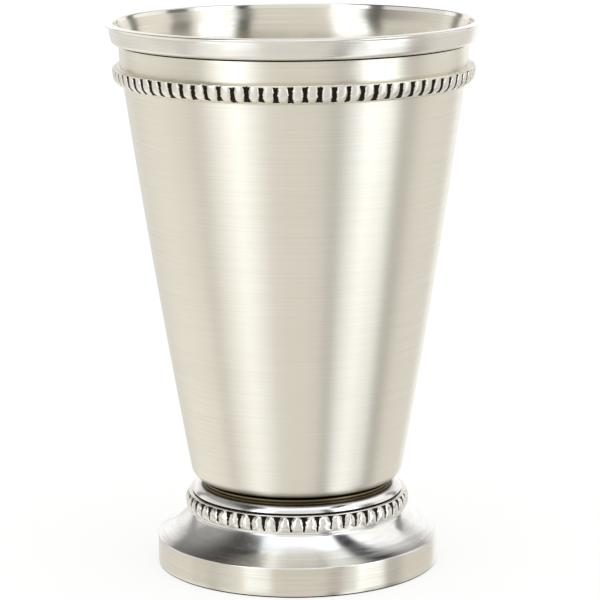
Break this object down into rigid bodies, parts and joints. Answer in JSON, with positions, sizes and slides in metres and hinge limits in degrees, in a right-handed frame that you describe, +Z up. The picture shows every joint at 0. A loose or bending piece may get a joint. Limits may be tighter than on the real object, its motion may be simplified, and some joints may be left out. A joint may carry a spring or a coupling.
{
  "type": "footed julep cup",
  "caption": "Tapered metal beaker on a hollow spun foot, with a lipped rim band and a ring of upright beads under the rim and round the foot.",
  "frame": {"origin": "centre of the foot's ring, on the table", "axes": "+Z up along the cup's axis; the side in the picture faces -Y, with +X to the right"},
  "size_m": [0.0894, 0.0894, 0.1316],
  "materials": {
    "body_metal": "fine brushed lines round the cup, light scratches, matt inside",
    "rim_metal": "turned and lightly polished, brushed round the band",
    "bead_metal": "cast beads polished on their crests, black patina in the gaps",
    "seat_metal": "dull, stained tan to olive",
    "foot_metal": "spun, brushed in circles, polished on its edges",
    "fixing_metal": "bright zinc plate"
  },
  "bodies": {
    "root": {"cup_body": "body_metal", "rim_band": "rim_metal", "rim_beading": "bead_metal", "seat_ring": "seat_metal", "foot_shell": "foot_metal", "foot_beading": "bead_metal", "fixing_stud": "fixing_metal", "stud_washer": "fixing_metal", "stud_nut": "fixing_metal"}
  },
  "joints": []
}
